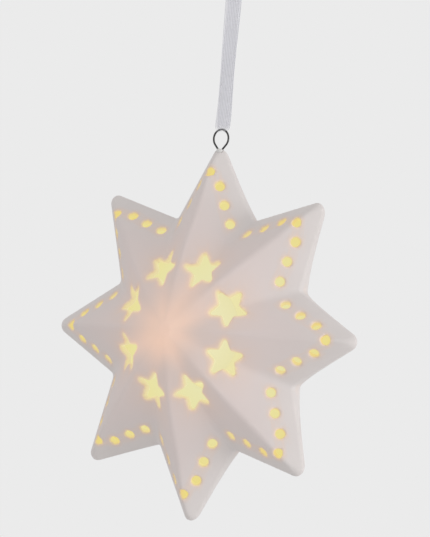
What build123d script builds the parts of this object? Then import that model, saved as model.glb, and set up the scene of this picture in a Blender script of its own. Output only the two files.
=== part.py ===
from build123d import *
from collections import namedtuple
from math import acos, atan2, cos, degrees, hypot, pi, sin, tan
import os

# Led star ornament: a hollow, pierced porcelain star that hangs on a ribbon, with a battery
# light unit pushed into its back. Sizes are in millimetres. X runs to the right as seen from
# the front, +Y points to the back and +Z up. The origin is where the hook bears, under the
# ribbon's knot. Everything but the ribbon is drawn about the star's middle and then moved down.

# Porcelain star
points = 8
tip_radius = 62.5            # middle to the sharp tip, before it is rounded
notch_radius = 38.95         # middle to the sharp notch between two points
tip_round = 2.7              # at the rim and along the ridges of the back
front_ridge_round = 0.9      # along the crisper ridges of the front
notch_round = 1.8
front_depth = 21.0           # from the rim's plane to the middle of the front
back_depth = 8.4             # from the rim's plane to the flat land on the back
land_radius = 22.5           # flat land round the hole in the back
wall = 2.2
cavity_tip_round = 1.5
most_round = 0.42            # share of an edge that the arc at a corner may take
top_tip_short = 0.8          # the top tip falls this much short of the others
crown_trim = 3.0             # and is then cut flat this far below its sharp corner

# How full the two domes are at the rim and along a ridge, and how the valleys fill towards the top
front_rim_power = 1.14
front_ridge_power = 1.25
back_rim_power = 2.0
back_ridge_power = 1.68
valley_power = 2.5
front_crown_ratio = 0.8      # notch to tip where a dome ends: folded to the middle in front,
back_crown_ratio = 0.97      # and nearly round at the back

# Pierced pattern on the front
dot_diameter = 3.0
dot_insets = (3.8, 4.3, 4.5)  # of the dots along the edge of a point, from its tip
dot_first = 15.9             # first edge dot, along the edge from the sharp tip
dot_last = 1.2               # last edge dot, along the edge before the sharp notch
tip_dot_inset = 10.9         # from the sharp tip to the dot near it
small_star_ring = 20.7       # middle to the middle of each small star
small_star_radius = 6.9
small_star_waist = 3.1       # to the inner corners of the small star
small_star_points = 5

# Wire eye and the glue in the top tip
wire_diameter = 0.6
eye_radius = 2.95            # to the middle of the wire
eye_height = 3.55            # middle of the eye above the cut tip
leg_spacing = 1.5
leg_length = 5.6             # below the cut tip
wire_bend = 0.9
leg_room = 0.1               # round the two legs in their hole
glue_rise = 0.3
glue_depth = 2.6

# Ribbon
ribbon_drop = 52.8           # hook to the top of the eye
ribbon_width = 5.0
ribbon_thickness = 0.25
ribbon_gather = 3.0          # width where it is gathered under the wire
ribbon_clearance = 0.1
gather_start = 0.45          # above the middle of the wire
gather_end = 1.1
knot_width = 7.0
knot_height = 6.0
knot_depth = 4.6
tail_length = 9.0
tail_angle = 24.0
tail_root = 0.8              # share of the knot's height where the tails start

# Light unit
body_diameter = 32.0
body_wall = 1.5
seal_wall = 1.7              # sleeve between the body and the hole in the star's back
seal_gap = 0.3
seal_lip = 0.6
seal_lip_width = 2.0
seal_sleeve = 3.6            # length of the sleeve in the hole
flange_overhang = 0.5        # past the seal's lip
flange_thickness = 1.6
back_wall = 2.6              # back wall of the housing, flange included
body_length = 11.0           # from the flange's seat to the open end
fit_gap = 0.15               # between pieces that plug into each other
bay_offset = -3.0            # battery bay below the unit's middle
bay_wall = 1.2
bay_floor = 1.2
cell_diameter = 20.0
cell_height = 3.2
cell_cap_diameter = 17.6
cell_cap_height = 0.5
cell_gap = 0.4               # round the cell and under the door
cell_lift = 1.0              # floor to the cell, room for the spring
door_lap = 1.3               # how far the door laps over the bay's edge
door_thickness = 1.4
door_gap = 0.25
screw_inset = 3.6            # from the outside of the body
screw_z = 1.5
screw_shaft = 1.9
screw_length = 6.0
screw_head = 3.8
screw_head_height = 1.1
screw_recess = 0.7
screw_slot = 0.6
screw_slot_depth = 0.5
screw_gap = 0.1
boss_radius = 2.2
boss_length = 5.2
ear_radius = 3.2
board_gap = 0.3              # round the board in the body
board_thickness = 1.0
board_room = 2.8             # between the bay's floor and the board
post_radius = 1.2
post_inset = 1.5             # from the inside of the body
post_angles = (30, 150, 270)
cap_thickness = 1.2
cap_spigot_wall = 1.2
collar_wall = 1.4
collar_height = 1.2
led_diameter = 5.0
led_flange_diameter = 5.8
led_flange_height = 1.0
led_height = 8.4
led_hole_gap = 0.3
lead_size = 0.5
lead_pitch = 2.54
lead_out = 1.2
lead_hole_gap = 0.15
resistor_size = (3.2, 0.6, 1.6)
resistor_place = (6.5, -4.0)
switch_size = (8.6, 3.4, 3.7)
switch_inset = 3.0           # from the inside of the body
switch_wall = 0.6
lever_size = (1.6, 1.3)
lever_depth = 1.1            # how far the lever reaches into the switch
switch_travel = 2.0
knob_size = (3.0, 2.4)
knob_out = 0.8               # knob above the back face
knob_gap = 0.3
pin_size = (0.6, 0.3)
pin_pitch = 2.5
pin_out = 0.8
strip_thickness = 0.25
strip_width = 4.0
strip_slot_gap = 0.3
strip_foot = 1.5
edge_break = 0.4

# Places worked out from the sizes above
sector = pi / points
top_share = (tip_radius - top_tip_short) / tip_radius
crown_cut = tip_radius - top_tip_short - crown_trim
wire_hole_radius = (leg_spacing + wire_diameter) / 2 + leg_room
eye_middle = crown_cut + eye_height
wire_top = eye_middle + eye_radius
star_drop = ribbon_drop + wire_top
body_radius = body_diameter / 2
inner_radius = body_radius - body_wall
hole_radius = body_radius + seal_wall + seal_gap
seal_lip_radius = hole_radius + seal_lip_width
flange_radius = seal_lip_radius + flange_overhang
flange_front = back_depth + seal_lip
back_face = flange_front + flange_thickness
wall_front = back_face - back_wall
body_front = flange_front - body_length
screw_x = body_radius - screw_inset
board_radius = inner_radius - board_gap
post_ring = inner_radius - post_inset
switch_z = inner_radius - switch_inset
bay_radius = cell_diameter / 2 + cell_gap
door_radius = bay_radius + door_lap
door_front = back_face - door_thickness
cell_back = door_front - cell_gap
cell_front = cell_back - cell_height
floor_back = cell_front - cell_lift
floor_front = floor_back - bay_floor
board_back = floor_front - board_room
board_front = board_back - board_thickness

Side = namedtuple("Side", "way depth end rim ridge crown ridge_round levels")
FRONT = Side(-1, front_depth, 0.0, front_rim_power, front_ridge_power, front_crown_ratio,
             front_ridge_round, (0, 0.12, 0.35, 0.62, 0.85, 0.985))
BACK = Side(1, back_depth, land_radius, back_rim_power, back_ridge_power, back_crown_ratio,
            tip_round, (0, 0.2, 0.45, 0.7, 0.9, 0.99))


def disc(radius, y_from, y_to, x=0.0, z=0.0):
    """Round bar along Y."""
    return Pos(x, (y_from + y_to) / 2, z) * Rot(90, 0, 0) * Cylinder(radius, abs(y_to - y_from))


def block(x_size, z_size, y_from, y_to, x=0.0, z=0.0):
    """Square bar along Y."""
    return Pos(x, (y_from + y_to) / 2, z) * Box(x_size, abs(y_to - y_from), z_size)


def turned(profile):
    """Solid turned about the Y axis from (radius, y) corners."""
    face = make_face(Polyline(*profile, close=True))
    return revolve(face, Axis.Y)


# The star's form. A dome is a stack of eight-pointed outlines, each with its own tip and notch
# radius, which close in along a rounded curve from the rim to the dome's flat top.

def level(side, u):
    """Tip radius, notch radius and height of the dome where it has risen by the share u."""
    left = 1 - u ** side.rim
    tip = side.end + (tip_radius - side.end) * left ** (1 / side.ridge)
    sharp = notch_radius / tip_radius
    notch = tip * (sharp + (side.crown - sharp) * u ** valley_power)
    return tip, notch, side.depth * u / side.levels[-1]


def edge_distance(tip, notch):
    """Middle of the star to the straight edge between a tip and a notch."""
    edge = hypot(tip - notch * cos(sector), notch * sin(sector))
    return tip * notch * sin(sector) / edge


def inner_level(side, u):
    """The same outline on the inside of the wall, which is square to the outer surface."""
    tip, notch, height = level(side, u)
    du = 1e-4
    low = level(side, max(u - du, 0))
    high = level(side, u + du)
    run = (low[0] - high[0]) * edge_distance(tip_radius, notch_radius) / tip_radius
    slope = atan2(high[2] - low[2], run) if u else pi / 2
    shrink = 1 - wall * sin(slope) / edge_distance(tip, notch)
    return tip * shrink, notch * shrink, height - wall * cos(slope)


def star_outline(tip, notch, y, tip_fillet, notch_fillet):
    """Rounded star outline as a face at depth y: straight edges with an arc at each corner."""
    corners = []
    for k in range(2 * points):
        radius = notch if k % 2 else tip
        if k == 0:
            radius *= top_share
        corners.append(Vector(radius * sin(k * sector), y, radius * cos(k * sector)))
    edges = []
    starts = []
    ends = []
    for k, corner in enumerate(corners):
        before = corners[k - 1] - corner
        after = corners[(k + 1) % len(corners)] - corner
        half = before.get_angle(after) * pi / 360
        fillet_radius = notch_fillet if k % 2 else tip_fillet
        fillet_radius = min(fillet_radius, most_round * before.length * tan(half))
        reach = fillet_radius / tan(half)
        middle = (before.normalized() + after.normalized()).normalized()
        starts.append(corner + before.normalized() * reach)
        ends.append(corner + after.normalized() * reach)
        bulge = corner + middle * (fillet_radius / sin(half) - fillet_radius)
        edges.append(Edge.make_three_point_arc(starts[k], bulge, ends[k]))
    lines = [Edge.make_line(ends[k - 1], starts[k]) for k in range(len(corners))]
    return Face(Wire(edges + lines))


def dome(side, inside=False):
    """One half of the star, from the rim's plane to its flat top."""
    outlines = []
    for u in side.levels:
        tip, notch, height = inner_level(side, u) if inside else level(side, u)
        outer_round = side.ridge_round if u else tip_round
        rounds = (cavity_tip_round, notch_round + wall) if inside else (outer_round, notch_round)
        outlines.append(star_outline(tip, notch, side.way * height, *rounds))
    return loft(outlines)


def front_height(x, z):
    """Height of the front over a place on the first point, whose tip is straight up."""
    low, high = 0.0, 0.999
    for _ in range(40):
        u = (low + high) / 2
        tip, notch, _height = level(FRONT, u)
        across = Vector(notch * sin(sector), notch * cos(sector) - tip)
        outside = abs(x) * -across.Y + (z - tip) * across.X > 0
        if outside:
            high = u
        else:
            low = u
    return level(FRONT, low)[2]


def front_plane(x, z, turn, inward=False):
    """Plane on the front surface, square to it, on the point that is turned by turn degrees."""
    step = 0.2
    radius = hypot(x, z)
    if inward:
        fall = front_height(x * (1 - step / radius), z * (1 - step / radius)) - front_height(x, z)
        slope_x = fall / step * x / radius
        slope_z = fall / step * z / radius
    else:
        slope_x = (front_height(x - step, z) - front_height(x + step, z)) / (2 * step)
        slope_z = (front_height(x, z - step) - front_height(x, z + step)) / (2 * step)
    place = Plane((x, -front_height(x, z), z), x_dir=(-x, 0, -z) if inward else (1, 0, 0),
                  z_dir=(slope_x, -1, slope_z))
    return Rot(0, turn, 0) * place.location


def pierced_dots():
    """Round cutters: one near each tip and a row along both edges of each point."""
    side = Vector(notch_radius * sin(sector), notch_radius * cos(sector) - tip_radius)
    edge = side.normalized()
    pitch = (side.length - dot_first - dot_last) / (len(dot_insets) - 1)
    places = [(0.0, tip_radius - tip_dot_inset)]
    for k, inset in enumerate(dot_insets):
        along = dot_first + k * pitch
        x = edge.X * along + edge.Y * inset
        z = tip_radius + edge.Y * along - edge.X * inset
        places += [(x, z), (-x, z)]
    cutter = Pos(0, 0, -wall / 2) * Cylinder(dot_diameter / 2, 4 * wall)
    return [front_plane(x, z, 2 * degrees(sector) * k) * cutter
            for k in range(points) for x, z in places]


def pierced_stars():
    """Five-pointed cutters in the valleys, each with one point towards the star's middle."""
    corners = []
    for k in range(2 * small_star_points):
        radius = small_star_waist if k % 2 else small_star_radius
        angle = pi * k / small_star_points
        corners.append((radius * cos(angle), radius * sin(angle)))
    face = make_face(Polyline(*corners, close=True))
    cutter = Pos(0, 0, -3 * wall) * extrude(face, 6 * wall)
    x = small_star_ring * sin(sector)
    z = small_star_ring * cos(sector)
    return [front_plane(x, z, 2 * degrees(sector) * k, inward=True) * cutter for k in range(points)]


def star_shell():
    """Slip-cast star with a hole in its back, its top tip cut flat and drilled for the wire."""
    front = dome(FRONT) - dome(FRONT, True) - pierced_dots() - pierced_stars()
    back = dome(BACK) - dome(BACK, True) - disc(hole_radius, 0, 2 * back_depth)
    crown = Pos(0, 0, crown_cut + tip_radius / 2) * Box(tip_radius, tip_radius, tip_radius)
    drill = Pos(0, 0, crown_cut) * Cylinder(wire_hole_radius, 2 * (leg_length + leg_room))
    return front + back - [crown, drill]


# Hanger: a round eye with two straight flanks and two legs that stand in the drilled tip.

def hanger_wire():
    leg_x = leg_spacing / 2
    out = hypot(leg_x, eye_height)
    tangent = atan2(-eye_height, leg_x) + acos(eye_radius / out)
    touch = (eye_radius * cos(tangent), eye_middle + eye_radius * sin(tangent))
    right = [touch, (leg_x, crown_cut), (leg_x, crown_cut - leg_length)]
    left = [(-x, z) for x, z in right]
    place = [Vector(x, 0, z) for x, z in right]
    other = [Vector(x, 0, z) for x, z in left]
    edges = [Edge.make_three_point_arc(other[0], Vector(0, 0, wire_top), place[0])]
    for side in (place, other):
        edges += [Edge.make_line(a, b) for a, b in zip(side, side[1:])]
    path = Wire(edges)
    bends = [v for v in path.vertices() if abs(v.Z - crown_cut) < wire_diameter]
    path = path.fillet_2d(wire_bend, bends)
    start = Plane(path.position_at(0), z_dir=path.tangent_at(0))
    return sweep(start * Circle(wire_diameter / 2), path=path)


def hanger_glue(wire):
    """Plug in the drilled tip, a little proud of it, with the two legs through it."""
    height = glue_depth + glue_rise
    plug = Pos(0, 0, crown_cut + glue_rise - height / 2) * Cylinder(wire_hole_radius, height)
    plug = chamfer(plug.edges().sort_by(Axis.Z)[-1], glue_rise)
    return plug - wire


# Ribbon, drawn from the hook down: two flat runs that meet under the wire, and the knot.

ribbon_inside = wire_diameter / 2 + ribbon_clearance + eye_radius - (
    eye_radius ** 2 - (ribbon_gather / 2) ** 2) ** 0.5


def ribbon_run(way):
    """Flat run on the side way, gathered at its foot, with half of the fold under the wire."""
    wide = ribbon_width / 2
    slim = ribbon_gather / 2
    foot = -ribbon_drop
    outline = Polyline((-wide, 0), (-wide, foot + gather_end), (-slim, foot + gather_start),
                       (-slim, foot), (slim, foot), (slim, foot + gather_start),
                       (wide, foot + gather_end), (wide, 0), close=True)
    outside = ribbon_inside + ribbon_thickness
    sheet = extrude(Plane.XZ * make_face(outline), -ribbon_thickness)
    sheet = Pos(0, ribbon_inside, 0) * sheet
    ring = Rot(0, 90, 0) * (Cylinder(outside, ribbon_gather) - Cylinder(ribbon_inside, ribbon_gather))
    quarter = Pos(0, outside / 2, -outside / 2) * Box(ribbon_gather, outside, outside)
    run = sheet + Pos(0, 0, foot) * (ring & quarter)
    return run if way > 0 else mirror(run, Plane.XZ)


def ribbon_knot():
    """Drawn-in bead of the knot with a belt round it and two flat tails that lean apart."""
    levels = ((0, 0.62), (0.2, 0.9), (0.5, 1.0), (0.8, 0.86), (1, 0.5))
    bead = loft([Pos(0, 0, knot_height * rise) * Ellipse(knot_width / 2 * share, knot_depth / 2 * share)
                 for rise, share in levels])
    knot = bead
    for way in (1, -1):
        tail = Pos(0, 0, tail_length / 2) * Box(ribbon_width, ribbon_thickness, tail_length)
        tail = Rot(0, way * tail_angle, 0) * tail
        knot += Pos(0, way * ribbon_thickness, knot_height * tail_root) * tail
    return knot


# Light unit, from the star's back inwards.

def seal_ring():
    """Soft ring with a lip under the flange and a ribbed sleeve in the star's hole."""
    outer = hole_radius - seal_gap
    rib = seal_gap * 1.5
    end = back_depth - seal_sleeve
    profile = [(body_radius, flange_front), (seal_lip_radius, flange_front),
               (seal_lip_radius, back_depth), (outer, back_depth),
               (outer, back_depth - wall), (outer - rib, back_depth - wall - rib),
               (outer - rib, end), (body_radius, end)]
    return turned(profile)


def door_face(grow=0.0):
    """Door outline seen from the back: a round cover with an ear for its screw."""
    round_cover = Pos(0, bay_offset) * Circle(door_radius + grow)
    ear = Pos(screw_x, screw_z) * Circle(ear_radius + grow)
    return make_hull((round_cover + ear).edges())


def behind(face, y_from, y_to):
    """Outline drawn in X and Z, made a plate between two depths."""
    return Pos(0, y_to, 0) * extrude(Plane.XZ * face, y_to - y_from)


def unit_housing():
    cup = turned([(0, wall_front), (inner_radius, wall_front), (inner_radius, body_front),
                  (body_radius, body_front), (body_radius, flange_front),
                  (flange_radius, flange_front), (flange_radius, back_face),
                  (0, back_face)])
    rim = cup.edges().filter_by(GeomType.CIRCLE).sort_by(Axis.Y)[-1]
    cup = fillet(rim, edge_break)
    inside = disc(inner_radius + body_wall / 2, body_front, back_face)
    bay = disc(bay_radius + bay_wall, floor_front, wall_front, z=bay_offset)
    boss = disc(boss_radius, back_face - boss_length - door_thickness, wall_front, screw_x, screw_z)
    added = bay + boss
    for angle in post_angles:
        place = Vector(post_ring, 0).rotate(Axis.Z, angle)
        added += disc(post_radius, board_back, wall_front, place.X, place.Y)
    housing = cup + (added & inside)
    pocket = disc(bay_radius, floor_back, back_face, z=bay_offset)
    recess = behind(door_face(door_gap), door_front, back_face)
    screw_way = disc(screw_shaft / 2 + screw_gap, back_face - screw_length - screw_gap, back_face,
                     screw_x, screw_z)
    slot_length = knob_size[0] + switch_travel + 2 * knob_gap
    knob_slot = block(slot_length, knob_size[1] + 2 * knob_gap, wall_front, back_face, 0, switch_z)
    strip_slot = (2 * strip_slot_gap + strip_thickness, strip_width + 2 * strip_slot_gap, floor_front)
    positive_slot = block(*strip_slot, door_front, -positive_x(), bay_offset)
    negative_slot = block(*strip_slot, floor_back, negative_x(), bay_offset)
    return housing - [pocket, recess, screw_way, knob_slot, positive_slot, negative_slot]


def front_cap():
    """Cap over the open end: a spigot inside the cup, and a collar round the led."""
    spigot = inner_radius - fit_gap
    face = body_front - cap_thickness
    hole = led_diameter / 2 + led_hole_gap
    cap = turned([(hole, body_front), (spigot - cap_spigot_wall, body_front),
                  (spigot - cap_spigot_wall, board_front), (spigot, board_front),
                  (spigot, body_front), (body_radius, body_front), (body_radius, face),
                  (hole + collar_wall, face), (hole + collar_wall, face - collar_height),
                  (hole, face - collar_height)])
    rim = cap.edges().filter_by(GeomType.CIRCLE).filter_by(
        lambda e: abs(e.radius - body_radius) < 0.01).sort_by(Axis.Y)[0]
    return fillet(rim, edge_break)


def switch_pin_places():
    return [(k * pin_pitch, switch_z) for k in (-1, 0, 1)]


def circuit_board():
    board = disc(board_radius, board_front, board_back)
    lead_hole = lead_size / 2 ** 0.5 + lead_hole_gap
    holes = [disc(lead_hole, board_front, board_back, way * lead_pitch / 2) for way in (1, -1)]
    pin_hole = hypot(*pin_size) / 2 + lead_hole_gap
    holes += [disc(pin_hole, board_front, board_back, x, z) for x, z in switch_pin_places()]
    return board - holes


def led_lens():
    """Round-nosed led body on a small flange."""
    radius = led_diameter / 2
    flange = led_flange_diameter / 2
    foot = board_front
    nose = foot - led_height
    lines = Polyline((0, nose), (0, foot), (flange, foot), (flange, foot - led_flange_height),
                     (radius, foot - led_flange_height), (radius, nose + radius))
    dome_arc = RadiusArc((radius, nose + radius), (0, nose), radius)
    return revolve(make_face(lines + dome_arc), Axis.Y)


def led_leads():
    return [block(lead_size, lead_size, board_front, board_back + lead_out, way * lead_pitch / 2)
            for way in (1, -1)]


def resistor():
    x_size, height, z_size = resistor_size
    chip = block(x_size, z_size, board_front - height, board_front, *resistor_place)
    return chamfer(chip.edges().filter_by(Axis.Y), height / 6)


def switch_body():
    """Slide switch can on the board, open at the back where the lever moves."""
    x_size, height, z_size = switch_size
    can = block(x_size, z_size, board_back, board_back + height, 0, switch_z)
    can = fillet(can.edges().filter_by(Axis.Y), switch_wall / 2)
    window = block(x_size - 2 * switch_wall, z_size - 2 * switch_wall,
                   board_back + height - lever_depth - switch_wall, board_back + height, 0, switch_z)
    return can - window


def switch_pins():
    return [block(*pin_size, board_front - pin_out, board_back, x, z) for x, z in switch_pin_places()]


def switch_knob():
    """Knob in its slot with the lever that reaches down into the switch, set to ON."""
    on = switch_travel / 2
    lever_end = board_back + switch_size[1] - lever_depth
    lever = block(*lever_size, lever_end, wall_front, on, switch_z)
    knob = block(*knob_size, wall_front, back_face + knob_out, on, switch_z)
    top = knob.edges().group_by(Axis.Y)[-1]
    knob = fillet(top, edge_break)
    groove = block(edge_break, knob_size[1], back_face + knob_out - edge_break / 2,
                   back_face + knob_out, on, switch_z)
    grooves = [Pos(way * 2 * edge_break, 0, 0) * groove for way in (-1, 0, 1)]
    return knob + lever - grooves


def positive_x():
    """Middle of the strip that stands between the cell and the bay's wall."""
    return cell_diameter / 2 + cell_gap / 2


def negative_x():
    """Where the spring's tail goes down through the floor."""
    return cell_cap_diameter / 4


def strip(path_points):
    """Bent strip of even thickness, drawn in X and Y at the bay's middle."""
    path = FilletPolyline(*path_points, radius=strip_thickness * 1.5)
    face = trace(path, strip_thickness)
    return Pos(0, 0, bay_offset - strip_width / 2) * extrude(face, strip_width)


def positive_contact():
    x = -positive_x()
    foot = board_back + strip_thickness / 2
    return strip([(x + strip_foot, foot), (x, foot), (x, cell_back)])


def negative_contact():
    x = negative_x()
    foot = board_back + strip_thickness / 2
    touch = cell_front - strip_thickness
    rest = floor_back + strip_thickness
    return strip([(x + strip_foot, foot), (x, foot), (x, rest), (-x / 2, touch), (-x * 1.5, rest)])


def coin_cell():
    """Stepped coin cell: wide can towards the door, smaller cap towards the spring."""
    can = cell_diameter / 2
    cap = cell_cap_diameter / 2
    step = cell_front + cell_cap_height
    cell = turned([(0, cell_front), (cap, cell_front), (cap, step), (can, step),
                   (can, cell_back), (0, cell_back)])
    rims = cell.edges().filter_by(GeomType.CIRCLE)
    cell = fillet(rims, cell_cap_height / 3)
    return Pos(0, 0, bay_offset) * cell


def battery_door():
    door = behind(door_face(), door_front, back_face)
    through = disc(screw_shaft / 2 + door_gap, door_front, back_face, screw_x, screw_z)
    counterbore = disc(screw_head / 2 + door_gap, back_face - screw_recess, back_face, screw_x, screw_z)
    return door - [through, counterbore]


def door_screw():
    """Small pan-head screw with a single slot."""
    under = back_face - screw_recess
    top = under + screw_head_height
    head = screw_head / 2
    shaft = screw_shaft / 2
    end = back_face - screw_length
    body = turned([(0, top), (head - edge_break, top), (head, top - edge_break), (head, under),
                   (shaft, under), (shaft, end + shaft), (shaft / 3, end), (0, end)])
    slot = block(2 * head, screw_slot, top - screw_slot_depth, top)
    return Pos(screw_x, 0, screw_z) * (body - slot)


def save(name, shape):
    """Write one sub-part, which may be several separate solids."""
    whole = Compound(children=list(shape)) if isinstance(shape, list) else shape
    export_step(whole, os.path.join("parts", name + ".step"))


os.makedirs("parts", exist_ok=True)
wire = hanger_wire()
pieces = {
    "star_shell": star_shell(),
    "hanger_wire": wire,
    "hanger_glue": hanger_glue(wire),
    "seal_ring": seal_ring(),
    "unit_housing": unit_housing(),
    "front_cap": front_cap(),
    "circuit_board": circuit_board(),
    "led_lens": led_lens(),
    "led_leads": led_leads(),
    "resistor": resistor(),
    "switch_body": switch_body(),
    "switch_pins": switch_pins(),
    "switch_knob": switch_knob(),
    "positive_contact": positive_contact(),
    "negative_contact": negative_contact(),
    "coin_cell": coin_cell(),
    "battery_door": battery_door(),
    "door_screw": door_screw(),
}
for name, shape in pieces.items():
    solids = shape if isinstance(shape, list) else [shape]
    placed = [Pos(0, 0, -star_drop) * solid for solid in solids]
    save(name, placed if len(placed) > 1 else placed[0])
save("ribbon_front", ribbon_run(-1))
save("ribbon_back", ribbon_run(1))
save("ribbon_knot", ribbon_knot())
print("star's middle below the hook", star_drop)
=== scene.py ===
import math

import bpy
import numpy as np
from mathutils import Matrix, Vector, kdtree


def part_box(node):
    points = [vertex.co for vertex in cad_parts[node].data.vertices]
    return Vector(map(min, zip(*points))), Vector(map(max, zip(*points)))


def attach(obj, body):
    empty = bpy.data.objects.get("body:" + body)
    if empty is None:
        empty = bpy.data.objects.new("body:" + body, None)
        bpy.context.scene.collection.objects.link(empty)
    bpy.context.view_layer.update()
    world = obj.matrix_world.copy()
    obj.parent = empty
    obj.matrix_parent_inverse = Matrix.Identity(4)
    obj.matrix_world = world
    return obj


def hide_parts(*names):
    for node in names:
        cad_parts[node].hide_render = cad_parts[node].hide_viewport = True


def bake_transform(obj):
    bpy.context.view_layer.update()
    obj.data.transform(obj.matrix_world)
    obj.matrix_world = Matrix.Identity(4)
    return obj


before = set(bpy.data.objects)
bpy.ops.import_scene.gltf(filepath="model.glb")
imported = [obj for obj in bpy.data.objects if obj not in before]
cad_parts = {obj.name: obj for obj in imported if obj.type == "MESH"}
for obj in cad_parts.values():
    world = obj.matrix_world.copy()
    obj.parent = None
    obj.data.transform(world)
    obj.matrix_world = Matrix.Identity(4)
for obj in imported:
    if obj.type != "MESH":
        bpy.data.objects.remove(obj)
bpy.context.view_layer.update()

# Star shell: one slip-cast porcelain wall about 2 mm thick, fired without a glaze.
# The holes are punched in the leather-hard clay, and every edge is then wiped soft
# with a wet sponge, so the cast solid is remeshed finely and smoothed.


def pick(piece):
    """Make one object active and the only one selected, as a click on it does."""
    bpy.ops.object.select_all(action="DESELECT")
    piece.select_set(True)
    bpy.context.view_layer.objects.active = piece


def apply_modifier(piece, kind, **settings):
    """Add one modifier with its settings and apply it at once."""
    pick(piece)
    modifier = piece.modifiers.new(kind.lower(), kind)
    for setting, value in settings.items():
        setattr(modifier, setting, value)
    bpy.ops.object.modifier_apply(modifier=modifier.name)


star_low, star_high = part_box("star_shell")
middle = Vector((0, 0, star_low.z + star_high.x))
led_nose = Vector((0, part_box("led_lens")[0].y, middle.z))

star = bpy.data.objects.new("porcelain_star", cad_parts["star_shell"].data.copy())
bpy.context.collection.objects.link(star)
pick(star)
bpy.ops.object.mode_set(mode="EDIT")
bpy.ops.mesh.select_all(action="SELECT")
bpy.ops.mesh.remove_doubles(threshold=1e-6)
bpy.ops.object.mode_set(mode="OBJECT")
apply_modifier(star, "REMESH", mode="VOXEL", voxel_size=0.00045, use_smooth_shade=True)
apply_modifier(star, "SMOOTH", factor=0.5, iterations=4)
apply_modifier(star, "DECIMATE", ratio=0.43)
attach(star, "star")
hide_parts("star_shell")

# Where the led lights the shell, its light is painted: the inside and the walls of the holes,
# which face another wall close by, are painted lit in full, the walls in a deeper tone, and the
# outside gets a painted fringe of light round each hole. All three are kept as values on the mesh.
corners = len(star.data.vertices)
place = np.empty(corners * 3)
normal = np.empty(corners * 3)
star.data.vertices.foreach_get("co", place)
star.data.vertices.foreach_get("normal", normal)
place = place.reshape(-1, 3) - np.array(middle)
normal = normal.reshape(-1, 3)
half_span, half_depth = 0.060, 0.015
outward = place / np.array((half_span, half_depth, half_span)) ** 2
outward /= np.linalg.norm(outward, axis=1)[:, None]
facing = (normal * outward).sum(axis=1)
dark_facing, lit_blend, deep_blend = 0.42, 0.2, 0.5
lit = np.clip((dark_facing - facing) / lit_blend, 0, 1)
deep = np.clip(-facing / deep_blend, 0, 1)
crown_height, crown_reach, crown_half = star_high.z - middle.z, 0.0048, 0.003
near_crown = place[:, 2] > crown_height - crown_reach
back_depth = 0.006
on_back = place[:, 1] > back_depth
steep_facing, hole_span, skin = 0.85, 0.008, 0.0002
for index in np.flatnonzero((facing > 0) & (facing < steep_facing) & ~on_back):
    way = Vector(normal[index])
    if star.ray_cast(middle + Vector(place[index]) + skin * way, way, distance=hole_span)[0]:
        lit[index] = 1
lit[near_crown & (np.abs(place[:, 0]) < crown_half)] = 0

from_middle = np.hypot(place[:, 0], place[:, 2])
star_ring, dot_ring = 0.022, 0.036
edge_glow = np.interp(from_middle, (star_ring, dot_ring), (0.0010, 0.0005))
fringe_reach = np.interp(from_middle, (star_ring, dot_ring), (0.0032, 0.0017))
well_lit = 0.6
lit_places = kdtree.KDTree(corners)
for index in np.flatnonzero((lit > well_lit) & ~near_crown & ~on_back):
    lit_places.insert(place[index], index)
lit_places.balance()
fringe = np.zeros(corners)
for index in np.flatnonzero((lit < well_lit) & ~near_crown & ~on_back):
    distance = lit_places.find(place[index])[2]
    fringe[index] = max(0.0, 1 - distance / fringe_reach[index])
    lit[index] = max(lit[index], 1 - distance / edge_glow[index])
for name, values in (("lit", lit), ("deep", deep), ("fringe", fringe)):
    attribute = star.data.attributes.new(name, "FLOAT", "POINT")
    attribute.data.foreach_set("value", values.astype(np.float32))


def new_material(name):
    """A new material, with its node tree and its Principled shader."""
    material = bpy.data.materials.new(name)
    material.use_nodes = True
    return material, material.node_tree, material.node_tree.nodes["Principled BSDF"]


def node(tree, kind, **settings):
    """Add one node. A setting names a property, or an input when it starts with a capital."""
    made = tree.nodes.new("ShaderNode" + kind)
    for setting, value in settings.items():
        if setting[0].isupper():
            made.inputs[setting.replace("_", " ")].default_value = value
        else:
            setattr(made, setting, value)
    return made


def math_node(tree, operation, first, second):
    """A Math node on two values, each a number or an output of another node."""
    made = node(tree, "Math", operation=operation)
    for socket, value in zip(made.inputs, (first, second)):
        if isinstance(value, (int, float)):
            socket.default_value = value
        else:
            tree.links.new(value, socket)
    return made.outputs["Value"]


def fade(tree, value, start, end):
    """Smooth step of a value: 1 at start and 0 at end."""
    made = node(tree, "MapRange", interpolation_type="SMOOTHSTEP", From_Min=start, From_Max=end,
                To_Min=1.0, To_Max=0.0)
    tree.links.new(value, made.inputs["Value"])
    return made.outputs["Result"]


def ramp(tree, value, stops):
    """Colour ramp from (place, colour) stops."""
    made = node(tree, "ValToRGB")
    elements = made.color_ramp.elements
    while len(elements) < len(stops):
        elements.new(1.0)
    for element, (position, colour) in zip(elements, stops):
        element.position = position
        element.color = (*colour, 1.0)
    tree.links.new(value, made.inputs["Fac"])
    return made.outputs["Color"]


def mix(tree, share, first, second, blend="MIX"):
    """Mix two colours, each a colour or an output of another node."""
    made = node(tree, "Mix", data_type="RGBA", blend_type=blend)
    sockets = (made.inputs[0], made.inputs[6], made.inputs[7])
    for socket, value in zip(sockets, (share, first, second)):
        if isinstance(value, (int, float)):
            socket.default_value = value
        elif isinstance(value, tuple):
            socket.default_value = (*value, 1.0)
        else:
            tree.links.new(value, socket)
    return made.outputs[2]


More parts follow.
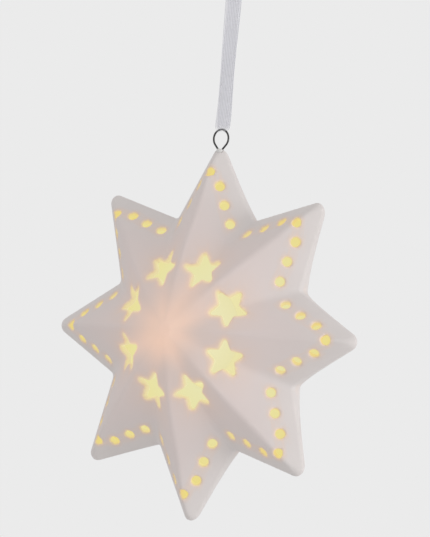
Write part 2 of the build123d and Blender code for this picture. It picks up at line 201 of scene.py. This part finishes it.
# Fine grain: the tooth of an unglazed or moulded surface, as a height and a slow mottle.
grain_group = bpy.data.node_groups.new("Fine grain", "ShaderNodeTree")
for name in ("Grain Scale", "Mottle Scale"):
    grain_group.interface.new_socket(name, in_out="INPUT", socket_type="NodeSocketFloat")
grain_group.interface.new_socket("Height", in_out="OUTPUT", socket_type="NodeSocketFloat")
grain_group.interface.new_socket("Mottle", in_out="OUTPUT", socket_type="NodeSocketFloat")
group_in = grain_group.nodes.new("NodeGroupInput")
group_out = grain_group.nodes.new("NodeGroupOutput")
grain_place = node(grain_group, "TexCoord")
tooth = node(grain_group, "TexNoise", Detail=3.0, Roughness=0.65)
speck = node(grain_group, "TexVoronoi", feature="F1")
slow = node(grain_group, "TexNoise", Detail=2.0, Roughness=0.5)
for texture, size in ((tooth, "Grain Scale"), (speck, "Grain Scale"), (slow, "Mottle Scale")):
    grain_group.links.new(grain_place.outputs["Object"], texture.inputs["Vector"])
    grain_group.links.new(group_in.outputs[size], texture.inputs["Scale"])
tooth_depth, speck_depth = 0.7, 0.25
height = math_node(grain_group, "SUBTRACT",
                   math_node(grain_group, "MULTIPLY", tooth.outputs["Fac"], tooth_depth),
                   math_node(grain_group, "MULTIPLY", speck.outputs["Distance"], speck_depth))
grain_group.links.new(height, group_out.inputs["Height"])
grain_group.links.new(slow.outputs["Fac"], group_out.inputs["Mottle"])


def add_grain(tree, shader, grain_scale, mottle_scale, depth, strength):
    """Put the grain on a shader's normal and give back its mottle."""
    grain = node(tree, "Group")
    grain.node_tree = grain_group
    grain.inputs["Grain Scale"].default_value = grain_scale
    grain.inputs["Mottle Scale"].default_value = mottle_scale
    bump = node(tree, "Bump", Strength=strength, Distance=depth)
    tree.links.new(grain.outputs["Height"], bump.inputs["Height"])
    tree.links.new(bump.outputs["Normal"], shader.inputs["Normal"])
    return grain.outputs["Mottle"]


# Lamp light, for the led's light painted on parts that are no lamp: how far a place is from the
# star's axis, from the middle of the painted bloom and from the led's nose, in metres, how deep
# it lies, and which fold it is on, from 1 on a ridge to -1 in a valley. The painted bloom leans
# to the right as it goes up, where it fades slowly, and fades fast to the right and down.
star_points = 8
bloom_middle = middle + Vector((-0.0006, 0, -0.0040))
fade_right, fade_down, bloom_lean = 2.0, 2.5, 0.5
lamp_group = bpy.data.node_groups.new("Lamp light", "ShaderNodeTree")
for name in ("From Axis", "From Bloom", "From Led", "Depth", "Fold"):
    lamp_group.interface.new_socket(name, in_out="OUTPUT", socket_type="NodeSocketFloat")
group_out = lamp_group.nodes.new("NodeGroupOutput")
lamp_place = node(lamp_group, "TexCoord")
lamp_axes = node(lamp_group, "SeparateXYZ")
lamp_group.links.new(lamp_place.outputs["Object"], lamp_axes.inputs["Vector"])
flat = node(lamp_group, "CombineXYZ", Y=0.0)
lamp_group.links.new(lamp_axes.outputs["X"], flat.inputs["X"])
lamp_group.links.new(lamp_axes.outputs["Z"], flat.inputs["Z"])
from_axis = node(lamp_group, "VectorMath", operation="DISTANCE")
from_axis.inputs[1].default_value = (0, 0, middle.z)
lamp_group.links.new(flat.outputs["Vector"], from_axis.inputs[0])
to_top = math_node(lamp_group, "SUBTRACT", lamp_axes.outputs["Z"], bloom_middle.z)
leaning = math_node(lamp_group, "MULTIPLY", math_node(lamp_group, "MAXIMUM", to_top, 0), bloom_lean)
to_right = math_node(lamp_group, "SUBTRACT", lamp_axes.outputs["X"],
                     math_node(lamp_group, "ADD", leaning, bloom_middle.x))
bloom_way = node(lamp_group, "CombineXYZ", Y=0.0)
lamp_group.links.new(math_node(lamp_group, "MAXIMUM", to_right, math_node(
    lamp_group, "MULTIPLY", to_right, fade_right)), bloom_way.inputs["X"])
lamp_group.links.new(math_node(lamp_group, "MINIMUM", to_top, math_node(
    lamp_group, "MULTIPLY", to_top, fade_down)), bloom_way.inputs["Z"])
from_bloom = node(lamp_group, "VectorMath", operation="LENGTH")
lamp_group.links.new(bloom_way.outputs["Vector"], from_bloom.inputs[0])
lamp_group.links.new(from_bloom.outputs["Value"], group_out.inputs["From Bloom"])
from_led = node(lamp_group, "VectorMath", operation="DISTANCE")
from_led.inputs[1].default_value = led_nose
lamp_group.links.new(lamp_place.outputs["Object"], from_led.inputs[0])
lamp_group.links.new(from_axis.outputs["Value"], group_out.inputs["From Axis"])
lamp_group.links.new(from_led.outputs["Value"], group_out.inputs["From Led"])
lamp_group.links.new(lamp_axes.outputs["Y"], group_out.inputs["Depth"])
bearing = math_node(lamp_group, "ARCTAN2", lamp_axes.outputs["X"],
                    math_node(lamp_group, "SUBTRACT", lamp_axes.outputs["Z"], middle.z))
fold = math_node(lamp_group, "COSINE", math_node(lamp_group, "MULTIPLY", bearing, star_points), 0)
lamp_group.links.new(fold, group_out.inputs["Fold"])


def add_lamp(tree):
    """Put the lamp light in a material and give back its outputs."""
    lamp = node(tree, "Group")
    lamp.node_tree = lamp_group
    return lamp.outputs


# Bisque porcelain: cool white where no light comes through, with the led's light painted on it:
# a painted warmer tint where the wall glows, and a painted pink to orange bloom over the led. The
# painted lit inside goes from pale to deep yellow with distance.
porcelain, tree, shader = new_material("bisque_porcelain")
mottle = add_grain(tree, shader, grain_scale=2600.0, mottle_scale=120.0, depth=0.00006, strength=0.35)
lamp = add_lamp(tree)
# Masks of the painted light: the front face, a painted warm tint near the axis, a faint painted glow
# nearer in, and the painted bloom, which reaches a little less far on the ridges than in the valleys.
is_front = fade(tree, lamp["Depth"], start=-0.012, end=0.002)
painted_warm_tint = math_node(tree, "MULTIPLY", is_front, fade(tree, lamp["From Axis"], start=0.044, end=0.061))
glowing = math_node(tree, "MULTIPLY", is_front, fade(tree, lamp["From Axis"], start=0.012, end=0.046))
ridge_pull = 0.12
ridge_scale = math_node(tree, "ADD", math_node(tree, "MULTIPLY", lamp["Fold"], ridge_pull), 1.0)
bloom_distance = math_node(tree, "MULTIPLY", lamp["From Bloom"], ridge_scale)
bloom = math_node(tree, "MULTIPLY", is_front, fade(tree, bloom_distance, start=-0.003, end=0.029))
lit_here = node(tree, "Attribute", attribute_name="lit").outputs["Fac"]
deep_here = node(tree, "Attribute", attribute_name="deep").outputs["Fac"]
fringe_here = node(tree, "Attribute", attribute_name="fringe").outputs["Fac"]
# Painted light in the base colour: the painted warm tint, the painted bloom, the painted fringe round
# the holes, and a dark base where the inside and hole walls are painted lit.
clay_with_painted_light = ramp(tree, mottle, ((0.3, (0.734, 0.685, 0.669)), (0.7, (0.754, 0.705, 0.687))))
clay_with_painted_light = mix(tree, painted_warm_tint, clay_with_painted_light, (0.783, 0.69, 0.667))
clay_with_painted_light = mix(tree, bloom, clay_with_painted_light, (0.77, 0.585, 0.51))
fringe_share = 0.7
clay_with_painted_light = mix(tree, math_node(tree, "MULTIPLY", fringe_here, fringe_share), clay_with_painted_light, (0.77, 0.62, 0.50))
clay_with_painted_light = mix(tree, lit_here, clay_with_painted_light, (0.14, 0.125, 0.09))
tree.links.new(clay_with_painted_light, shader.inputs["Base Color"])
# Painted light as emission: the lit inside and hole walls in yellow, deeper with distance from the
# led, the painted bloom with its faint glow, and the painted fringe round the holes.
lit_span = 0.06
led_distance = math_node(tree, "MULTIPLY", lamp["From Led"], 1 / lit_span)
inside = ramp(tree, led_distance,
              ((0.25, (0.67, 0.67, 0.44)), (0.55, (0.68, 0.65, 0.335)), (0.95, (0.70, 0.575, 0.16))))
hole_wall = ramp(tree, led_distance, ((0.35, (0.69, 0.60, 0.33)), (0.8, (0.70, 0.55, 0.20))))
inside = mix(tree, deep_here, hole_wall, inside)
bloom_light = mix(tree, glowing, (0.0, 0.0, 0.0), (0.031, 0.012, 0.004))
bloom_light = mix(tree, bloom, bloom_light, (0.275, 0.162, 0.105))
fringe_light = ramp(tree, fringe_here, ((0.0, (0.0, 0.0, 0.0)), (0.35, (0.016, 0.003, 0.0)),
                                        (0.6, (0.05, 0.014, 0.0)), (1.0, (0.22, 0.125, 0.01))))
glow = mix(tree, 1.0, bloom_light, fringe_light, "ADD")
glow = mix(tree, lit_here, glow, inside)
tree.links.new(glow, shader.inputs["Emission Color"])
shader.inputs["Emission Strength"].default_value = 1.0
shader.inputs["Roughness"].default_value = 0.62
shader.inputs["Specular IOR Level"].default_value = 0.35
star.data.materials.clear()
star.data.materials.append(porcelain)

# Hanger wire: dark annealed steel wire, bent round a mandrel to an eye. Its legs stand in the
# drilled top tip, bedded in a drop of cured glue.


def coat(cad_node, material):
    """Give a CAD node, whose shape stays, its finish."""
    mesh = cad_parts[cad_node].data
    mesh.materials.clear()
    mesh.materials.append(material)


wire_steel, tree, shader = new_material("annealed_wire")
mottle = add_grain(tree, shader, grain_scale=3500.0, mottle_scale=400.0, depth=0.00003, strength=0.4)
scale_tint = ramp(tree, mottle, ((0.35, (0.045, 0.045, 0.047)), (0.65, (0.09, 0.088, 0.085))))
tree.links.new(scale_tint, shader.inputs["Base Color"])
worn = node(tree, "MapRange", To_Min=0.32, To_Max=0.55)
tree.links.new(mottle, worn.inputs["Value"])
tree.links.new(worn.outputs["Result"], shader.inputs["Roughness"])
shader.inputs["Metallic"].default_value = 1.0
coat("hanger_wire", wire_steel)

glue, tree, shader = new_material("cured_glue")
mottle = add_grain(tree, shader, grain_scale=900.0, mottle_scale=500.0, depth=0.00005, strength=0.5)
cloud = ramp(tree, mottle, ((0.3, (0.70, 0.685, 0.67)), (0.7, (0.76, 0.745, 0.73))))
tree.links.new(cloud, shader.inputs["Base Color"])
shader.inputs["Roughness"].default_value = 0.35
coat("hanger_glue", glue)

# Ribbon: narrow sheer organza, threaded through the eye. Its two runs hang flat, one before
# and one behind the wire, and come close halfway up. They are drawn in where they fold under the
# wire, and pleated into the knot.
ribbon_width, fold_width, cloth_thickness = 0.005, 0.0034, 0.00012
eye_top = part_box("hanger_wire")[1].z
wire_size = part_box("hanger_wire")[1].y * 2
fold_slack, fold_height = 0.00025, 0.0022
fold_low = eye_top - wire_size - fold_slack
eye_radius, arch_limit = 0.00295, 0.9
fold_end, spread_end = 0.0005, 0.0017
low_twist, high_twist = math.radians(4), math.radians(4)
low_twist_end, run_top = 0.005, 0.045
gather_length, gather_share = 0.007, 0.6
pleat_depth, pleat_rate = 0.0002, 9
curl_depth, curl_rate = 0.00022, 140
sway_width, sway_rate = 0.00012, 95
run_route = (
    (0, 0.00000, fold_low),
    (0, 0.00048, fold_low + 0.00002),
    (0, 0.00056, fold_low + 0.0008),
    (0.0003, 0.00050, fold_low + 0.0060),
    (0.0005, 0.00022, -0.030),
    (0.0006, 0.00064, -0.008),
    (0, 0.00055, 0.0010),
)


def line_points(name, route):
    """Points along the smooth NURBS line that a route guides."""
    curve = bpy.data.curves.new(name, "CURVE")
    curve.dimensions = "3D"
    curve.resolution_u = 24
    spline = curve.splines.new("NURBS")
    spline.points.add(len(route) - 1)
    for point, spot in zip(spline.points, route):
        point.co = (*spot, 1.0)
    spline.order_u = 3
    spline.use_endpoint_u = True
    line = bpy.data.objects.new(name, curve)
    mesh = bpy.data.meshes.new_from_object(line)
    points = [vertex.co.copy() for vertex in mesh.vertices]
    bpy.data.objects.remove(line)
    bpy.data.meshes.remove(mesh)
    return points


def smooth_step(value, start, end):
    """Smooth step of a number: 0 at start and 1 at end."""
    share = min(1.0, max(0.0, (value - start) / (end - start)))
    return share * share * (3 - 2 * share)


def twist(travel):
    """How far the loop has turned about the vertical, this far up from the fold."""
    low = low_twist * smooth_step(travel, 0.0, low_twist_end)
    return low + high_twist * smooth_step(travel, 0.0, run_top)


def ribbon_run(name, way, lean):
    """One run as a woven strip along its line, with a shallow curl that wanders as it rises."""
    points = line_points(name + "_line", [(x, way * y, z) for x, y, z in run_route])
    along = [0.0]
    for before, after in zip(points, points[1:]):
        along.append(along[-1] + (after - before).length)
    rows, columns = len(points) - 1, 12
    bpy.ops.object.select_all(action="DESELECT")
    bpy.ops.mesh.primitive_grid_add(x_subdivisions=columns, y_subdivisions=rows, size=1.0)
    strip = bpy.context.object
    strip.name = name
    for vertex in strip.data.vertices:
        row = round((vertex.co.y + 0.5) * rows)
        across = 2 * vertex.co.x
        travel = along[row]
        open_share = smooth_step(travel, fold_end, spread_end)
        gather = smooth_step(travel, along[-1] - gather_length, along[-1])
        half = (fold_width + (ribbon_width - fold_width) * open_share) / 2
        half *= 1 - gather_share * gather
        side = across * half
        arch = eye_radius - math.sqrt(eye_radius ** 2 - min(abs(side), arch_limit * eye_radius) ** 2)
        curl = curl_depth * across ** 2 * math.sin(curl_rate * travel + lean) * open_share
        curl += pleat_depth * gather * math.sin(pleat_rate * across + lean)
        sway = sway_width * math.sin(sway_rate * travel + lean) * open_share
        flat_spot = points[row] + Vector((side + sway, curl, -arch * (1 - open_share)))
        vertex.co = Matrix.Rotation(twist(travel), 3, "Z") @ flat_spot
    stretch = strip.data.attributes.new("stretch", "FLOAT", "POINT")
    for corner, vertex in zip(stretch.data, strip.data.vertices):
        corner.value = 1 - smooth_step(vertex.co.z, fold_low, fold_low + fold_height)
    apply_modifier(strip, "SOLIDIFY", thickness=cloth_thickness, offset=0.0)
    pick(strip)
    bpy.ops.object.shade_smooth_by_angle(angle=math.radians(40))
    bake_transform(strip)
    strip.data.materials.clear()
    strip.data.materials.append(organza)
    path = [Matrix.Rotation(twist(travel), 3, "Z") @ point for travel, point in zip(along, points)]
    return strip, path, along[-1]


# Organza: mostly lengthwise threads, closer at the selvedges and drawn thin at the fold.
organza, tree, shader = new_material("organza")
cloth = node(tree, "UVMap")
warp = node(tree, "TexWave", wave_type="BANDS", bands_direction="X", Scale=2.6, Distortion=0.8,
            Detail=2.0)
weft = node(tree, "TexWave", wave_type="BANDS", bands_direction="Y", Scale=70.0, Distortion=0.3)
for threads in (warp, weft):
    tree.links.new(cloth.outputs["UV"], threads.inputs["Vector"])
warp_share, weft_share = 0.9, 0.1
weave = math_node(tree, "ADD", math_node(tree, "MULTIPLY", warp.outputs["Fac"], warp_share),
                  math_node(tree, "MULTIPLY", weft.outputs["Fac"], weft_share))
thread_tint = ramp(tree, weave, ((0.2, (0.71, 0.705, 0.755)), (0.8, (0.93, 0.925, 0.975))))
tree.links.new(thread_tint, shader.inputs["Base Color"])
cloth_axes = node(tree, "SeparateXYZ")
tree.links.new(cloth.outputs["UV"], cloth_axes.inputs["Vector"])
off_middle = math_node(tree, "ABSOLUTE", math_node(tree, "SUBTRACT", cloth_axes.outputs["X"], 0.5), 0)
selvedge_start, selvedge_threads, fold_sheerness = 0.45, 2.5, 0.7
selvedge = math_node(tree, "GREATER_THAN", off_middle, selvedge_start)
thick = math_node(tree, "ADD", weave, math_node(tree, "MULTIPLY", selvedge, selvedge_threads))
cover = node(tree, "MapRange", clamp=False, To_Min=0.32, To_Max=0.39)
tree.links.new(thick, cover.inputs["Value"])
stretched = node(tree, "Attribute", attribute_name="stretch").outputs["Fac"]
opened = math_node(tree, "SUBTRACT", 1.0, math_node(tree, "MULTIPLY", stretched, fold_sheerness))
tree.links.new(math_node(tree, "MULTIPLY", cover.outputs["Result"], opened), shader.inputs["Alpha"])
shader.inputs["Roughness"].default_value = 0.45
shader.inputs["Sheen Weight"].default_value = 0.3

front_run, front_path, run_length = ribbon_run("ribbon_front_run", -1, 0.4)
back_run, back_path, run_length = ribbon_run("ribbon_back_run", 1, 2.1)
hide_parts("ribbon_front")
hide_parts("ribbon_back")

# Knot: the two ends tied together in one overhand knot above the hook, pulled tight, with
# two short tails cut on the slant.
knot_middle = Vector((0, 0, 0.0030))
lobe, lobe_depth, lobe_height = 0.00082, 1.25, 0.85
band_tilt, band_waver = math.radians(70), 0.5
knot_curve = bpy.data.curves.new("ribbon_knot_tied", "CURVE")
knot_curve.dimensions = "3D"
knot_curve.resolution_u = 4
knot_curve.extrude = 0.0009
knot_curve.bevel_depth = 0.0003
knot_curve.bevel_resolution = 3
knot_curve.twist_mode = "MINIMUM"
wraps = knot_curve.splines.new("NURBS")
knot_steps = 48
wraps.points.add(knot_steps - 1)
for index, point in enumerate(wraps.points):
    angle = math.tau * index / knot_steps
    point.co = (knot_middle.x + lobe * (math.sin(angle) + 2 * math.sin(2 * angle)),
                knot_middle.y - lobe_depth * lobe * math.sin(3 * angle),
                knot_middle.z + lobe_height * lobe * (math.cos(angle) - 2 * math.cos(2 * angle)), 1.0)
    point.tilt = band_tilt + band_waver * math.sin(2 * angle)
wraps.order_u = 4
wraps.use_cyclic_u = True
knot = bpy.data.objects.new("ribbon_knot_tied", knot_curve)
bpy.context.collection.objects.link(knot)
pick(knot)
bpy.ops.object.convert(target="MESH")
knot = bpy.context.object
pieces = [knot]
tail_length, tail_angle, tail_lift = 0.0088, math.radians(24), 0.0016
tail_root, tail_open, tail_slant = 0.3, 0.35, 0.12
tail_spread, tail_wave, tail_wave_rate, tail_cup = 0.0006, 0.0005, 4.5, 0.0003
for way in (1, -1):
    bpy.ops.object.select_all(action="DESELECT")
    bpy.ops.mesh.primitive_grid_add(x_subdivisions=8, y_subdivisions=24, size=1.0)
    tail = bpy.context.object
    for vertex in tail.data.vertices:
        across, rise = 2 * vertex.co.x, vertex.co.y + 0.5
        half = ribbon_width / 2 * (tail_root + (1 - tail_root) * smooth_step(rise, 0.0, tail_open))
        length = tail_length * rise * (1 - tail_slant * (1 + way * across))
        side = across * half
        x = side * math.cos(tail_angle) + length * math.sin(tail_angle)
        z = length * math.cos(tail_angle) - side * math.sin(tail_angle)
        wave = tail_wave * math.sin(tail_wave_rate * rise + way) * rise
        y = tail_spread * way * rise + wave + tail_cup * across ** 2
        vertex.co = knot_middle + Vector((way * x, y, z + tail_lift))
    apply_modifier(tail, "SOLIDIFY", thickness=cloth_thickness, offset=0.0)
    pieces.append(tail)
bpy.ops.object.select_all(action="DESELECT")
for piece in pieces:
    piece.select_set(True)
bpy.context.view_layer.objects.active = knot
bpy.ops.object.join()
pick(knot)
bpy.ops.object.shade_smooth_by_angle(angle=math.radians(40))
knot.data.materials.clear()
knot.data.materials.append(organza)
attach(knot, "ribbon")
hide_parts("ribbon_knot")

# Seal ring: soft translucent silicone, moulded in one piece. Its lip lies between the flange
# and the porcelain, and its sleeve grips the pouring hole, where the light gets at it. That light
# is painted on the sleeve as a dark base colour and a yellow emission, brighter towards the front.
silicone, tree, shader = new_material("silicone")
mottle = add_grain(tree, shader, grain_scale=1500.0, mottle_scale=160.0, depth=0.00004, strength=0.3)
milk = ramp(tree, mottle, ((0.3, (0.70, 0.70, 0.68)), (0.7, (0.76, 0.76, 0.74))))
lamp = add_lamp(tree)
seal_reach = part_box("seal_ring")[1].x
lip_inside, lip_outside = seal_reach - 0.0008, seal_reach - 0.0002
# Painted light on the sleeve, inside the lip's outer edge, and none on the outer lip.
lit_sleeve = fade(tree, lamp["From Axis"], start=lip_inside, end=lip_outside)
tree.links.new(mix(tree, lit_sleeve, milk, (0.25, 0.24, 0.19)), shader.inputs["Base Color"])
sleeve_glow = ramp(tree, fade(tree, lamp["Depth"], start=0.0045, end=0.0085),
                   ((0.0, (0.36, 0.32, 0.17)), (1.0, (0.64, 0.60, 0.31))))
tree.links.new(mix(tree, lit_sleeve, (0.0, 0.0, 0.0), sleeve_glow), shader.inputs["Emission Color"])
shader.inputs["Emission Strength"].default_value = 1.0
shader.inputs["Roughness"].default_value = 0.42
shader.inputs["Subsurface Weight"].default_value = 0.15
shader.inputs["Subsurface Scale"].default_value = 0.001
coat("seal_ring", silicone)

# Unit housing, cap and door: injection-moulded white plastic with a fine spark-eroded texture.
# The cap faces the star's inside, so the led lights it; that light is painted on whatever lies
# in front of a set depth, as a dark base colour and a yellow emission, paler near the led.
white_plastic, tree, shader = new_material("white_plastic")
mottle = add_grain(tree, shader, grain_scale=4200.0, mottle_scale=60.0, depth=0.00005, strength=0.45)
resin = ramp(tree, mottle, ((0.3, (0.74, 0.74, 0.72)), (0.7, (0.78, 0.78, 0.765))))
shader.inputs["Roughness"].default_value = 0.44
lamp = add_lamp(tree)
# Painted light of the led: a dark base colour and a yellow emission in front of this depth.
lit_cap = fade(tree, lamp["Depth"], start=0.0035, end=0.0062)
tree.links.new(mix(tree, lit_cap, resin, (0.25, 0.24, 0.19)), shader.inputs["Base Color"])
cap_glow = ramp(tree, math_node(tree, "MULTIPLY", lamp["From Led"], 1 / lit_span),
                ((0.1, (0.62, 0.60, 0.40)), (0.4, (0.56, 0.51, 0.26))))
tree.links.new(mix(tree, lit_cap, (0.0, 0.0, 0.0), cap_glow), shader.inputs["Emission Color"])
shader.inputs["Emission Strength"].default_value = 1.0
for name in ("unit_housing", "front_cap", "battery_door"):
    coat(name, white_plastic)

# Circuit board: thin glass-fibre board under green resist, with the copper showing as paler
# tracks below it.
board, tree, shader = new_material("green_board")
add_grain(tree, shader, grain_scale=1800.0, mottle_scale=300.0, depth=0.00002, strength=0.3)
board_place = node(tree, "TexCoord")
tracks = node(tree, "TexWave", wave_type="BANDS", bands_direction="DIAGONAL", Scale=260.0,
              Distortion=6.0)
tree.links.new(board_place.outputs["Object"], tracks.inputs["Vector"])
resist = ramp(tree, tracks.outputs["Fac"], ((0.55, (0.015, 0.10, 0.045)), (0.65, (0.05, 0.21, 0.10))))
tree.links.new(resist, shader.inputs["Base Color"])
shader.inputs["Roughness"].default_value = 0.3
coat("circuit_board", board)

# Led: water-clear epoxy with a warm phosphor chip, switched on.
epoxy, tree, shader = new_material("lit_epoxy")
lamp = add_lamp(tree)
lens_length = 0.009
chip_light = ramp(tree, math_node(tree, "MULTIPLY", lamp["From Led"], 1 / lens_length),
                  ((0.0, (1.0, 0.93, 0.62)), (1.0, (0.95, 0.72, 0.26))))
tree.links.new(chip_light, shader.inputs["Emission Color"])
shader.inputs["Emission Strength"].default_value = 0.9
shader.inputs["Base Color"].default_value = (0.9, 0.8, 0.5, 1.0)
shader.inputs["Roughness"].default_value = 0.12
coat("led_lens", epoxy)

# Small metal: tinned leads and pins, nickel-plated contact strips, the steel can of the coin
# cell and the zinc-plated screw share one brushed finish in different tones.


def brushed_metal(name, dark, light, rough):
    """Plated steel with fine drawing lines in its tone and gloss."""
    material, tree, shader = new_material(name)
    where = node(tree, "TexCoord")
    stretch = node(tree, "Mapping", Scale=(900.0, 900.0, 9000.0))
    lines = node(tree, "TexNoise", Scale=1.0, Detail=2.0)
    tree.links.new(where.outputs["Object"], stretch.inputs["Vector"])
    tree.links.new(stretch.outputs["Vector"], lines.inputs["Vector"])
    tone = ramp(tree, lines.outputs["Fac"], ((0.3, dark), (0.7, light)))
    tree.links.new(tone, shader.inputs["Base Color"])
    smoother, rougher = 0.08, 0.12
    gloss = node(tree, "MapRange", To_Min=rough - smoother, To_Max=rough + rougher)
    tree.links.new(lines.outputs["Fac"], gloss.inputs["Value"])
    tree.links.new(gloss.outputs["Result"], shader.inputs["Roughness"])
    shader.inputs["Metallic"].default_value = 1.0
    return material


tinned = brushed_metal("tinned_steel", (0.52, 0.52, 0.50), (0.66, 0.66, 0.64), 0.34)
nickel = brushed_metal("nickel_strip", (0.50, 0.47, 0.42), (0.66, 0.62, 0.56), 0.28)
cell_can = brushed_metal("cell_steel", (0.58, 0.58, 0.58), (0.72, 0.72, 0.71), 0.24)
zinc = brushed_metal("zinc_screw", (0.46, 0.47, 0.48), (0.62, 0.63, 0.64), 0.30)
for name, metal in (("led_leads", tinned), ("switch_pins", tinned), ("positive_contact", nickel),
                    ("negative_contact", nickel), ("coin_cell", cell_can), ("door_screw", zinc)):
    coat(name, metal)

# Switch and resistor: black moulded plastic for the switch and its knob, and a black ceramic
# chip with tinned ends for the resistor.
black_plastic, tree, shader = new_material("black_plastic")
mottle = add_grain(tree, shader, grain_scale=5200.0, mottle_scale=200.0, depth=0.00004, strength=0.4)
soot = ramp(tree, mottle, ((0.3, (0.018, 0.018, 0.019)), (0.7, (0.032, 0.032, 0.033))))
tree.links.new(soot, shader.inputs["Base Color"])
shader.inputs["Roughness"].default_value = 0.46
coat("switch_body", black_plastic)
coat("switch_knob", black_plastic)

chip, tree, shader = new_material("chip_resistor")
low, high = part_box("resistor")
chip_place = node(tree, "TexCoord")
chip_axes = node(tree, "SeparateXYZ")
tree.links.new(chip_place.outputs["Object"], chip_axes.inputs["Vector"])
chip_middle, bare_from = (low.x + high.x) / 2, 0.35
off_chip = math_node(tree, "SUBTRACT", chip_axes.outputs["X"], chip_middle)
ends = math_node(tree, "GREATER_THAN", math_node(tree, "ABSOLUTE", off_chip, 0),
                 bare_from * (high.x - low.x))
tree.links.new(mix(tree, ends, (0.02, 0.02, 0.022), (0.6, 0.6, 0.58)), shader.inputs["Base Color"])
tree.links.new(ends, shader.inputs["Metallic"])
shader.inputs["Roughness"].default_value = 0.4
coat("resistor", chip)

# Stage: a pale floor well below the hanging star, and a plain light grey backdrop.
floor_size, floor_drop = 6.0, 0.25
bpy.ops.object.select_all(action="DESELECT")
bpy.ops.mesh.primitive_plane_add(size=floor_size, location=(0, 0, star_low.z - floor_drop))
floor = bpy.context.object
floor.name = "floor"
backdrop_grey = 0.831
sky_light = 0.725
floor_lift = 0.21


def seen_ray(tree):
    """1 for a ray from the camera, a reflection or clear stuff, and 0 for one that only lights."""
    ray = node(tree, "LightPath")
    return math_node(tree, "MAXIMUM", ray.outputs["Is Camera Ray"], math_node(
        tree, "MAXIMUM", ray.outputs["Is Glossy Ray"], ray.outputs["Is Transmission Ray"]))


paper, tree, shader = new_material("pale_floor")
shader.inputs["Base Color"].default_value = (backdrop_grey, backdrop_grey, backdrop_grey, 1.0)
shader.inputs["Roughness"].default_value = 0.9
shader.inputs["Emission Color"].default_value = (1.0, 1.0, 1.0, 1.0)
lifted = math_node(tree, "MULTIPLY", seen_ray(tree), floor_lift)
tree.links.new(lifted, shader.inputs["Emission Strength"])
floor.data.materials.append(paper)

world = bpy.data.worlds.new("studio")
world.use_nodes = True
bpy.context.scene.world = world
tree = world.node_tree
soft = tree.nodes["Background"]
soft.inputs["Color"].default_value = (1.0, 1.0, 1.0, 1.0)
soft.inputs["Strength"].default_value = sky_light
seen = node(tree, "Background", Color=(1.0, 1.0, 1.0, 1.0), Strength=backdrop_grey)
choose = node(tree, "MixShader")
tree.links.new(seen_ray(tree), choose.inputs["Fac"])
tree.links.new(soft.outputs["Background"], choose.inputs[1])
tree.links.new(seen.outputs["Background"], choose.inputs[2])
tree.links.new(choose.outputs["Shader"], tree.nodes["World Output"].inputs["Surface"])

# Light: one large soft lamp to the viewer's right, level with the star.
key_turn, key_rise, key_distance = math.radians(92), math.radians(-6), 1.6
key = bpy.data.lights.new("key", "AREA")
key.energy = 12.0
key.size = 1.0
key_lamp = bpy.data.objects.new("key", key)
bpy.context.collection.objects.link(key_lamp)
key_way = Vector((math.sin(key_turn) * math.cos(key_rise), -math.cos(key_turn) * math.cos(key_rise),
                  math.sin(key_rise)))
key_lamp.location = middle + key_distance * key_way
key_lamp.rotation_euler = key_way.to_track_quat("Z", "Y").to_euler()

# Camera: a long lens to the right of the star's front and a little below it, tipped a few
# degrees, aimed between the star and its ribbon.
view_turn, view_rise, view_roll = math.radians(38.28), math.radians(-1.53), math.radians(-4.63)
view_distance = 1.5025
aim_right, aim_up = 0.00308, 0.02065
back = Vector((math.sin(view_turn) * math.cos(view_rise), -math.cos(view_turn) * math.cos(view_rise),
               math.sin(view_rise)))
level_right = Vector((math.cos(view_turn), math.sin(view_turn), 0))
level_up = back.cross(level_right)
right = level_right * math.cos(view_roll) - level_up * math.sin(view_roll)
up = level_right * math.sin(view_roll) + level_up * math.cos(view_roll)
lens = bpy.data.cameras.new("camera")
lens.lens = 316.9
camera = bpy.data.objects.new("camera", lens)
bpy.context.collection.objects.link(camera)
camera.location = middle + back * view_distance
towards = (camera.location - (middle + right * aim_right + up * aim_up)).normalized()
side = (right - towards * right.dot(towards)).normalized()
over = towards.cross(side)
turn = camera.rotation_euler.to_matrix()
turn.col[0], turn.col[1], turn.col[2] = side, over, towards
camera.rotation_euler = turn.to_euler()
bpy.context.scene.camera = camera
bpy.context.scene.view_settings.view_transform = "Standard"
